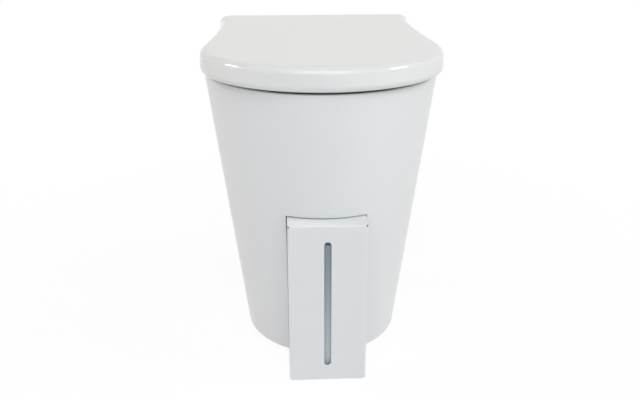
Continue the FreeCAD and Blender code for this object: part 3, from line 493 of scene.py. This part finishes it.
def bake(piece):
    """Turn the modifiers of a piece into plain mesh."""
    bpy.context.view_layer.update()
    mesh = bpy.data.meshes.new_from_object(piece.evaluated_get(bpy.context.evaluated_depsgraph_get()))
    piece.modifiers.clear()
    piece.data = mesh


def carve(piece, cutters):
    """Cut other pieces out of this one, and remove them."""
    for cutter in cutters:
        cutting = piece.modifiers.new("cut", "BOOLEAN")
        cutting.operation = "DIFFERENCE"
        cutting.solver = "EXACT"
        cutting.object = cutter
    bake(piece)
    for cutter in cutters:
        bpy.data.objects.remove(cutter)


def join(piece, others):
    """Take the meshes of other pieces into this one, with points that meet made one."""
    work = bmesh.new()
    for part in [piece] + others:
        bake(part)
        work.from_mesh(part.data)
    bmesh.ops.remove_doubles(work, verts=work.verts, dist=1e-6)
    for face in work.faces:
        face.smooth = True
    work.to_mesh(piece.data)
    work.free()
    for other in others:
        bpy.data.objects.remove(other)


seat_height = seat_top - seat_base
seat_back = hinge.y - STAND_AXIS_Y - SEAT_BACK_GAP
rings = []
for share, height in smooth_path(SEAT_OUTER_SHARES, 3):
    inset = SEAT_INSET + SEAT_EDGE * share
    plan = cover_plan(inset, seat_back + SEAT_INSET)
    rings.append([Vector((x, STAND_AXIS_Y + y, seat_base + seat_height * height)) for x, y in plan])
outer_plan = cover_plan(SEAT_INSET, seat_back + SEAT_INSET)
for share, height in smooth_path(SEAT_INNER_SHARES, 3):
    wide = SEAT_OPENING_WIDE - SEAT_EDGE * share
    reach = SEAT_OPENING_REACH - SEAT_EDGE * share
    turns = [math.atan2(x / COVER_WIDE, (y - SEAT_OPENING_Y) / COVER_FRONT) for x, y in outer_plan]
    rings.append([Vector((wide * math.sin(turn), STAND_AXIS_Y + SEAT_OPENING_Y + reach * math.cos(turn),
                          seat_base + seat_height * height)) for turn in turns])
rings.append(rings[0])
seat = skin("seat", rings)
join(seat, [])
notches = []
arms = []
for side in (-1, 1):
    notch_y = hinge.y - NOTCH_DEPTH
    notches.append(brick("notch", (side * post_x - NOTCH_HALF, notch_y, NOTCH_CUT_LOW),
                         (side * post_x + NOTCH_HALF, NOTCH_CUT_BACK, NOTCH_CUT_HIGH)))
    near_x, far_x = side * (post_x - EYE_GAP), side * (post_x - EYE_GAP - EYE_LENGTH)
    arms.append(hinge_eye("seat_eye", near_x, far_x))
    arm_front = STAND_AXIS_Y + seat_back - SEAT_EDGE
    arms.append(brick("seat_arm", (min(near_x, far_x), arm_front, hinge.z - EYE_RADIUS),
                      (max(near_x, far_x), hinge.y - EYE_BORE, hinge.z)))
carve(seat, notches)
join(seat, arms)
ease_edges(seat, SOFT_EDGE, 3)

duroplast = surface("white_duroplast", (0.70, 0.703, 0.70),
                    mottle=0.012, gloss=(0.06, 0.09), grain=260, relief=0.000006)
dress(seat, duroplast)
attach(seat, "seat")
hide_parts("seat_ring")

# Seat hinge bushes
# Satin nylon bushes line the seat's hinge eyes.

dress_node("seat_hinge_bushes", hinge_nylon, edge=0.0003)

# Seat bumpers
# Four soft white rubber studs under the seat rest on the insert.

white_rubber = surface("white_rubber", (0.6, 0.6, 0.58),
                       mottle=0.06, gloss=(0.55, 0.7), grain=500, relief=0.00005)
dress_node("seat_bumpers", white_rubber, edge=0.0008)

# Lid
# A wrap-over lid of glossy white duroplast. Its top is slightly crowned and falls to the front, its edge is
# rounded, its skirt is nearly straight with a rolled lip, and its back is open round the hinge.

LID_WALL = 0.005
LID_FALL = 0.009
LID_CROWN = 0.005
LID_LIP_INSET = 0.0065
LID_LIP_RISE = 0.011
LID_DRAFT = 0.001
LID_ROUND = 0.0125
LID_CENTRE_Y = 0.02
LID_CAP_SHARE = 0.04

lid_low, lid_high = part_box("lid")
lid_height = lid_high.z - lid_low.z
lid_under = lid_high.z - LID_WALL


def lid_ring(inset, height, scale=1):
    """One level of the lid. The top falls towards the front and the sides, and the lip is level."""
    ring = []
    for x, y in cover_plan(inset):
        x, y = x * scale, LID_CENTRE_Y + (y - LID_CENTRE_Y) * scale
        forward = (COVER_BACK - LID_DRAFT - LID_ROUND - y) / (COVER_BACK + COVER_FRONT)
        drop = forward * (LID_FALL + LID_CROWN * (x / COVER_WIDE) ** 2) * height / lid_height
        ring.append(Vector((x, STAND_AXIS_Y + y, lid_low.z + height - drop)))
    return ring


rings = []
for turn in spread(0, math.pi / 2, 10):
    rings.append(lid_ring(LID_LIP_INSET * (1 - math.sin(turn)), LID_LIP_RISE * (1 - math.cos(turn))))
round_start = lid_height - LID_ROUND
for share in spread(0, 1, 6)[1:]:
    rings.append(lid_ring(LID_DRAFT * share, LID_LIP_RISE + (round_start - LID_LIP_RISE) * share))
for turn in spread(0, math.pi / 2, 16)[1:]:
    rings.append(lid_ring(LID_DRAFT + LID_ROUND * (1 - math.cos(turn)),
                          round_start + LID_ROUND * math.sin(turn)))
for scale in spread(1, LID_CAP_SHARE, 12)[1:]:
    rings.append(lid_ring(LID_DRAFT + LID_ROUND, lid_height, scale))
lid = skin("lid_shell", rings)


def close_top(work):
    """Fill the small hole in the middle of the lid's top."""
    work.verts.ensure_lookup_table()
    work.faces.new(work.verts[-len(rings[-1]):])


edit_mesh(lid, close_top)
drop_faces(lid, lambda mid: abs(mid.x) < BACK_GAP and mid.y > hinge.y - EYE_RADIUS and mid.z < lid_under)
thicken(lid, LID_WALL)
eyes = []
for side in (-1, 1):
    near_x, far_x = side * (post_x + EYE_GAP), side * (post_x + EYE_GAP + EYE_LENGTH)
    eyes.append(hinge_eye("lid_eye", near_x, far_x))
    eyes.append(brick("lid_web", (min(near_x, far_x), hinge.y - EYE_RADIUS, hinge.z + EYE_BORE),
                      (max(near_x, far_x), hinge.y + EYE_RADIUS, lid_under)))
join(lid, eyes)
ease_edges(lid, SOFT_EDGE, 3)
dress(lid, duroplast)
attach(lid, "lid")
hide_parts("lid")

# Lid hinge bushes
# The same nylon bushes in the lid's hinge eyes.

dress_node("lid_hinge_bushes", hinge_nylon, edge=0.0003)

# Lid bumpers
# Four white rubber cushions between the lid and the seat.

dress_node("lid_bumpers", white_rubber, edge=0.0008)

# Front box
# One folded blank of powder coated sheet steel: the front with its level slot, two side flanges and a top
# flange. The bends stop short of the upper corners and leave a small relief hole at each.

BOX_SHEET = 0.0015
BOX_BEND = 0.002
BOX_CORNER = 0.0045
BOX_EDGE = 0.0003
BOX_TOP_DEPTH = 0.062
BEND_LENGTH = BOX_BEND * math.pi / 2
WALL_TOP_GAP = BOX_SHEET * 1.2
RELIEF_RADIUS = 0.0017
RELIEF_REACH = 0.004
SLOT_HALF = 0.005
SLOT_LOW = 0.025
SLOT_TOP_MARGIN = 0.024
SLOT_CUT_REACH = 0.01
RIVET_HEAD = 0.004
RIVET_FLARE = 0.0005

box_half = box_high.x
flat_half = box_half - BOX_BEND
flat_top = box_high.z - BOX_BEND
box_depth = box_high.y - box_low.y
strip_top = box_low.z + BOX_CORNER
rivet_low, rivet_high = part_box("tray_rivets")
rivet_z = (rivet_low.z + rivet_high.z) / 2


def bent(distance, flat):
    """Where a point of the blank lies after the bend: how far along the front, and how far behind it."""
    if distance <= flat:
        return distance, 0.0
    if distance < flat + BEND_LENGTH:
        turn = (distance - flat) / BOX_BEND
        return flat + BOX_BEND * math.sin(turn), BOX_BEND * (1 - math.cos(turn))
    return flat + BOX_BEND, BOX_BEND + distance - flat - BEND_LENGTH


def panel(name, places):
    """A mesh over a grid of points, given row by row from below."""
    return skin(name, places, round_trip=False)


def side_point(across, z):
    """A point of the front or a side flange, from its place across the blank."""
    along, behind = bent(abs(across), flat_half)
    return Vector((math.copysign(along, across), box_low.y + behind, z))


def top_point(x, rise):
    """A point of the top bend or flange, from its place up the blank."""
    along, behind = bent(rise, flat_top)
    return Vector((x, box_low.y + behind, along))


across = spread(-flat_half, flat_half, 22)
rises = spread(strip_top, flat_top, 30)
front_box = panel("front_box_sheet", [[side_point(x, z) for x in across] for z in rises])
bend = spread(flat_half, flat_half + BEND_LENGTH, 5)
wall = spread(flat_half + BEND_LENGTH, flat_half + BEND_LENGTH + box_depth - BOX_BEND, 8)
wall_rises = rises + [box_high.z - WALL_TOP_GAP]
wings = []
for side in (-1, 1):
    for columns, levels in ((bend, rises), (wall, wall_rises)):
        placed = sorted(side * column for column in columns)
        wings.append(panel("side_flange", [[side_point(x, z) for x in placed] for z in levels]))
top_bend = spread(flat_top, flat_top + BEND_LENGTH, 5)
flange = spread(flat_top + BEND_LENGTH, flat_top + BEND_LENGTH + BOX_TOP_DEPTH - BOX_BEND, 6)
wings.append(panel("top_bend", [[top_point(x, rise) for x in across] for rise in top_bend]))
full = [-box_half] + across + [box_half]
wings.append(panel("top_flange", [[top_point(x, rise) for x in full] for rise in flange]))
strip = []
for turn in spread(0, math.pi / 2, 8):
    width_share = (box_half - BOX_CORNER + BOX_CORNER * math.sin(turn)) / box_half
    z = strip_top - BOX_CORNER * math.cos(turn)
    strip.append([Vector((x * width_share, box_low.y, z)) for x in full])
wings.append(panel("lower_strip", strip))
join(front_box, wings)
thicken(front_box, BOX_SHEET)
bake(front_box)
slot_ends = ((math.pi, SLOT_LOW + SLOT_HALF), (0, box_high.z - SLOT_TOP_MARGIN - SLOT_HALF))
outline = [(SLOT_HALF * math.cos(start + turn), z + SLOT_HALF * math.sin(start + turn))
           for start, z in slot_ends for turn in spread(0, math.pi, 24)]
cutters = [skin("slot", [[Vector((x, box_low.y + y, z)) for x, z in outline]
                         for y in (SLOT_CUT_REACH, -SLOT_CUT_REACH)])]
for side in (-1, 1):
    corner = Vector((side * (box_half - BOX_BEND / 2), box_low.y + BOX_BEND / 2, box_high.z - BOX_BEND / 2))
    along = Vector((side, -1, 1)).normalized()
    sideways = along.orthogonal().normalized() * RELIEF_RADIUS
    upright = along.cross(sideways)
    cutters.append(skin("relief", [[corner + along * step + sideways * math.cos(turn) + upright * math.sin(turn)
                                    for turn in spread(0, 2 * math.pi, 24)[:-1]]
                                   for step in (-RELIEF_REACH, RELIEF_REACH)]))
    for y in (rivet_low.y + RIVET_HEAD, rivet_high.y - RIVET_HEAD):
        ends = ((box_half + RIVET_FLARE, RIVET_HEAD + RIVET_FLARE), (box_half - 2 * BOX_SHEET, RIVET_HEAD / 4))
        cutters.append(skin("rivet_seat", [[Vector((side * x, y + radius * math.cos(turn),
                                                    rivet_z + radius * math.sin(turn)))
                                            for turn in spread(0, 2 * math.pi, 32)[:-1]]
                                           for x, radius in ends]))


def close_ends(work):
    """Fill both ends of a tube, so that it cuts as a solid."""
    bmesh.ops.holes_fill(work, edges=work.edges)
    bmesh.ops.recalc_face_normals(work, faces=work.faces)


for cutter in cutters:
    edit_mesh(cutter, close_ends)
carve(front_box, cutters)
ease_edges(front_box, BOX_EDGE)
# Painted shade: the box has the stand's own powder coat, made a little darker here for the lesser light it gets
# low down near the floor.
shaded_box_coat = powder_coated("box_powder_coat_painted_shade", (0.69, 0.70, 0.71))
dress(front_box, shaded_box_coat)
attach(front_box, "urine_box")
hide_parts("front_box")

# Box tray
# A bent steel tray under the canister, white like the front that it is riveted to.

dress_node("box_tray", powder_coat, edge=0.0003)

# Tray rivets
# Small zinc plated blind rivets join the tray to the side flanges.

dress_node("tray_rivets", zinc, edge=0.0002)

# Box glides
# Thin nylon pads under the tray slide on the floor.

dress_node("box_glides", hinge_nylon, edge=0.0003)

# Box guides
# Two bent steel angles on the base plate guide the box on its way in.

dress_node("box_guides", powder_coat, edge=0.0003)

# Guide screws
# Zinc plated pan-head screws hold the guides.

dress_node("guide_screws", zinc, edge=0.0002)

# Urine canister
# A blow-moulded canister of milky grey polyethylene. A stripe of it shows through the level slot.

# Painted shade and light: the canister's colour runs from a lighter grey-blue at the foot of the slot to a
# darker one at its head, for the shade under the box's top and the light from below.
PAINTED_SHADE_TOP = (0.275, 0.325, 0.365, 1)
PAINTED_LIGHT_FOOT = (0.53, 0.575, 0.61, 1)

milky = surface("canister_plastic", PAINTED_SHADE_TOP[:3],
                mottle=0.05, gloss=(0.34, 0.46), grain=300, relief=0.00006)
tree = milky.node_tree
height = tree.nodes.new("ShaderNodeSeparateXYZ")
tree.links.new(tree.nodes.new("ShaderNodeTexCoord").outputs["Object"], height.inputs[0])
painted_shade_fade = tree.nodes.new("ShaderNodeMapRange")
painted_shade_fade.interpolation_type = "SMOOTHSTEP"
painted_shade_fade.inputs["From Min"].default_value = SLOT_LOW
painted_shade_fade.inputs["From Max"].default_value = box_high.z - SLOT_TOP_MARGIN
tree.links.new(height.outputs["Z"], painted_shade_fade.inputs["Value"])
# Painted shade: blend the lighter foot colour into the darker top colour up the slot.
clear = tree.nodes.new("ShaderNodeMix")
clear.data_type = "RGBA"
clear.inputs["A"].default_value = PAINTED_LIGHT_FOOT
clear.inputs["B"].default_value = PAINTED_SHADE_TOP
tree.links.new(painted_shade_fade.outputs["Result"], clear.inputs["Factor"])
finish = next(node for node in tree.nodes if node.type == "GROUP")
tree.links.new(clear.outputs["Result"], finish.inputs["Colour"])
dress_node("urine_canister", milky, edge=0.0008)

# Floor, light and camera
# A plain white studio sweep with broad soft lights, seen from standing height in front.

FLOOR_REACH = 9
FLOOR_TONE = 0.83
FLOOR_SHADOW_SHARE = 0.09
WHITE = (1, 1, 1, 1)
ROOM_COLOUR = (0.995, 1, 1, 1)
ROOM_LEVEL = 0.6
LIGHT_AIM = Vector((0, 0, 0.3))
SENSOR_WIDTH = 36
CAMERA_PLACE = (-0.0564, -1.1648, 0.6439)
CAMERA_PITCH = 20.83
CAMERA_YAW = 2.75
CAMERA_ROLL = -0.14
CAMERA_LENS = 43.27


def light_path_mix(tree, seen, unseen):
    """What a camera, mirror or glass ray meets, and what lights the scene."""
    path = tree.nodes.new("ShaderNodeLightPath")
    total = path.outputs["Is Camera Ray"]
    for label in ("Is Glossy Ray", "Is Transmission Ray"):
        add = tree.nodes.new("ShaderNodeMath")
        add.operation = "MAXIMUM"
        tree.links.new(total, add.inputs[0])
        tree.links.new(path.outputs[label], add.inputs[1])
        total = add.outputs[0]
    mix = tree.nodes.new("ShaderNodeMixShader")
    tree.links.new(total, mix.inputs["Fac"])
    tree.links.new(unseen, mix.inputs[1])
    tree.links.new(seen, mix.inputs[2])
    return mix.outputs["Shader"]


world = bpy.data.worlds.new("studio")
bpy.context.scene.world = world
world.use_nodes = True
tree = world.node_tree
tree.nodes.clear()
backdrop = tree.nodes.new("ShaderNodeBackground")
backdrop.inputs["Color"].default_value = WHITE
ambient = tree.nodes.new("ShaderNodeBackground")
ambient.inputs["Color"].default_value = ROOM_COLOUR
towards = tree.nodes.new("ShaderNodeSeparateXYZ")
tree.links.new(tree.nodes.new("ShaderNodeTexCoord").outputs["Generated"], towards.inputs[0])
tree.links.new(blend_value(tree, towards.outputs["Z"], ROOM_LEVEL, 0.0), ambient.inputs["Strength"])
world_end = tree.nodes.new("ShaderNodeOutputWorld")
tree.links.new(light_path_mix(tree, backdrop.outputs[0], ambient.outputs[0]), world_end.inputs["Surface"])

floor_mesh = bpy.data.meshes.new("floor")
corners = [(x * FLOOR_REACH, y * FLOOR_REACH, 0) for x, y in ((-1, -1), (1, -1), (1, 1), (-1, 1))]
floor_mesh.from_pydata(corners, [], [(0, 1, 2, 3)])
floor = bpy.data.objects.new("floor", floor_mesh)
bpy.context.scene.collection.objects.link(floor)
paper = bpy.data.materials.new("white_paper")
paper.use_nodes = True
tree = paper.node_tree
tree.nodes.clear()
matte = tree.nodes.new("ShaderNodeBsdfDiffuse")
matte.inputs["Color"].default_value = (FLOOR_TONE, FLOOR_TONE, FLOOR_TONE, 1)
white = tree.nodes.new("ShaderNodeBsdfDiffuse")
white.inputs["Color"].default_value = WHITE
glow = tree.nodes.new("ShaderNodeEmission")
glow.inputs["Color"].default_value = WHITE
lit = tree.nodes.new("ShaderNodeMixShader")
near = tree.nodes.new("ShaderNodeTexGradient")
near.gradient_type = "SPHERICAL"
tree.links.new(tree.nodes.new("ShaderNodeTexCoord").outputs["Object"], near.inputs["Vector"])
tree.links.new(blend_value(tree, near.outputs["Fac"], 0.0, FLOOR_SHADOW_SHARE), lit.inputs["Fac"])
tree.links.new(glow.outputs[0], lit.inputs[1])
tree.links.new(white.outputs[0], lit.inputs[2])
paper_end = tree.nodes.new("ShaderNodeOutputMaterial")
tree.links.new(light_path_mix(tree, lit.outputs[0], matte.outputs[0]), paper_end.inputs["Surface"])
dress(floor, paper)


def softbox(name, place, size, power, colour):
    """A broad soft light that faces the middle of the toilet."""
    lamp = bpy.data.lights.new(name, "AREA")
    lamp.shape = "RECTANGLE"
    lamp.size, lamp.size_y = size
    lamp.energy = power
    lamp.color = colour
    holder = bpy.data.objects.new(name, lamp)
    bpy.context.scene.collection.objects.link(holder)
    holder.location = place
    holder.rotation_euler = (Vector(place) - LIGHT_AIM).to_track_quat("Z", "Y").to_euler()


softbox("front_light", (-0.1, -2.8, 1.5), (2.6, 1.4), 18.6, (0.92, 0.97, 1))
softbox("high_light", (-0.1, -2.3, 2.9), (3.0, 1.6), 47.7, (0.935, 0.97, 1))
softbox("middle_light", (-0.35, -2.7, 2.0), (1.1, 0.1), 2.5, (1, 1, 1))
softbox("right_light", (2.5, -0.5, 2.15), (0.9, 0.5), 37, (1, 0.99, 0.957))
softbox("left_light", (-2.45, 0.6, 2.15), (0.9, 0.5), 27, (1, 0.875, 0.8))

viewer = bpy.data.cameras.new("camera")
viewer.sensor_width = SENSOR_WIDTH
viewer.lens = CAMERA_LENS
camera = bpy.data.objects.new("camera", viewer)
bpy.context.scene.collection.objects.link(camera)
turned = (Matrix.Rotation(math.radians(-CAMERA_YAW), 4, "Z")
          @ Matrix.Rotation(math.radians(90 - CAMERA_PITCH), 4, "X")
          @ Matrix.Rotation(math.radians(CAMERA_ROLL), 4, "Z"))
camera.matrix_world = Matrix.Translation(CAMERA_PLACE) @ turned
bpy.context.scene.camera = camera
bpy.context.scene.view_settings.view_transform = "Standard"
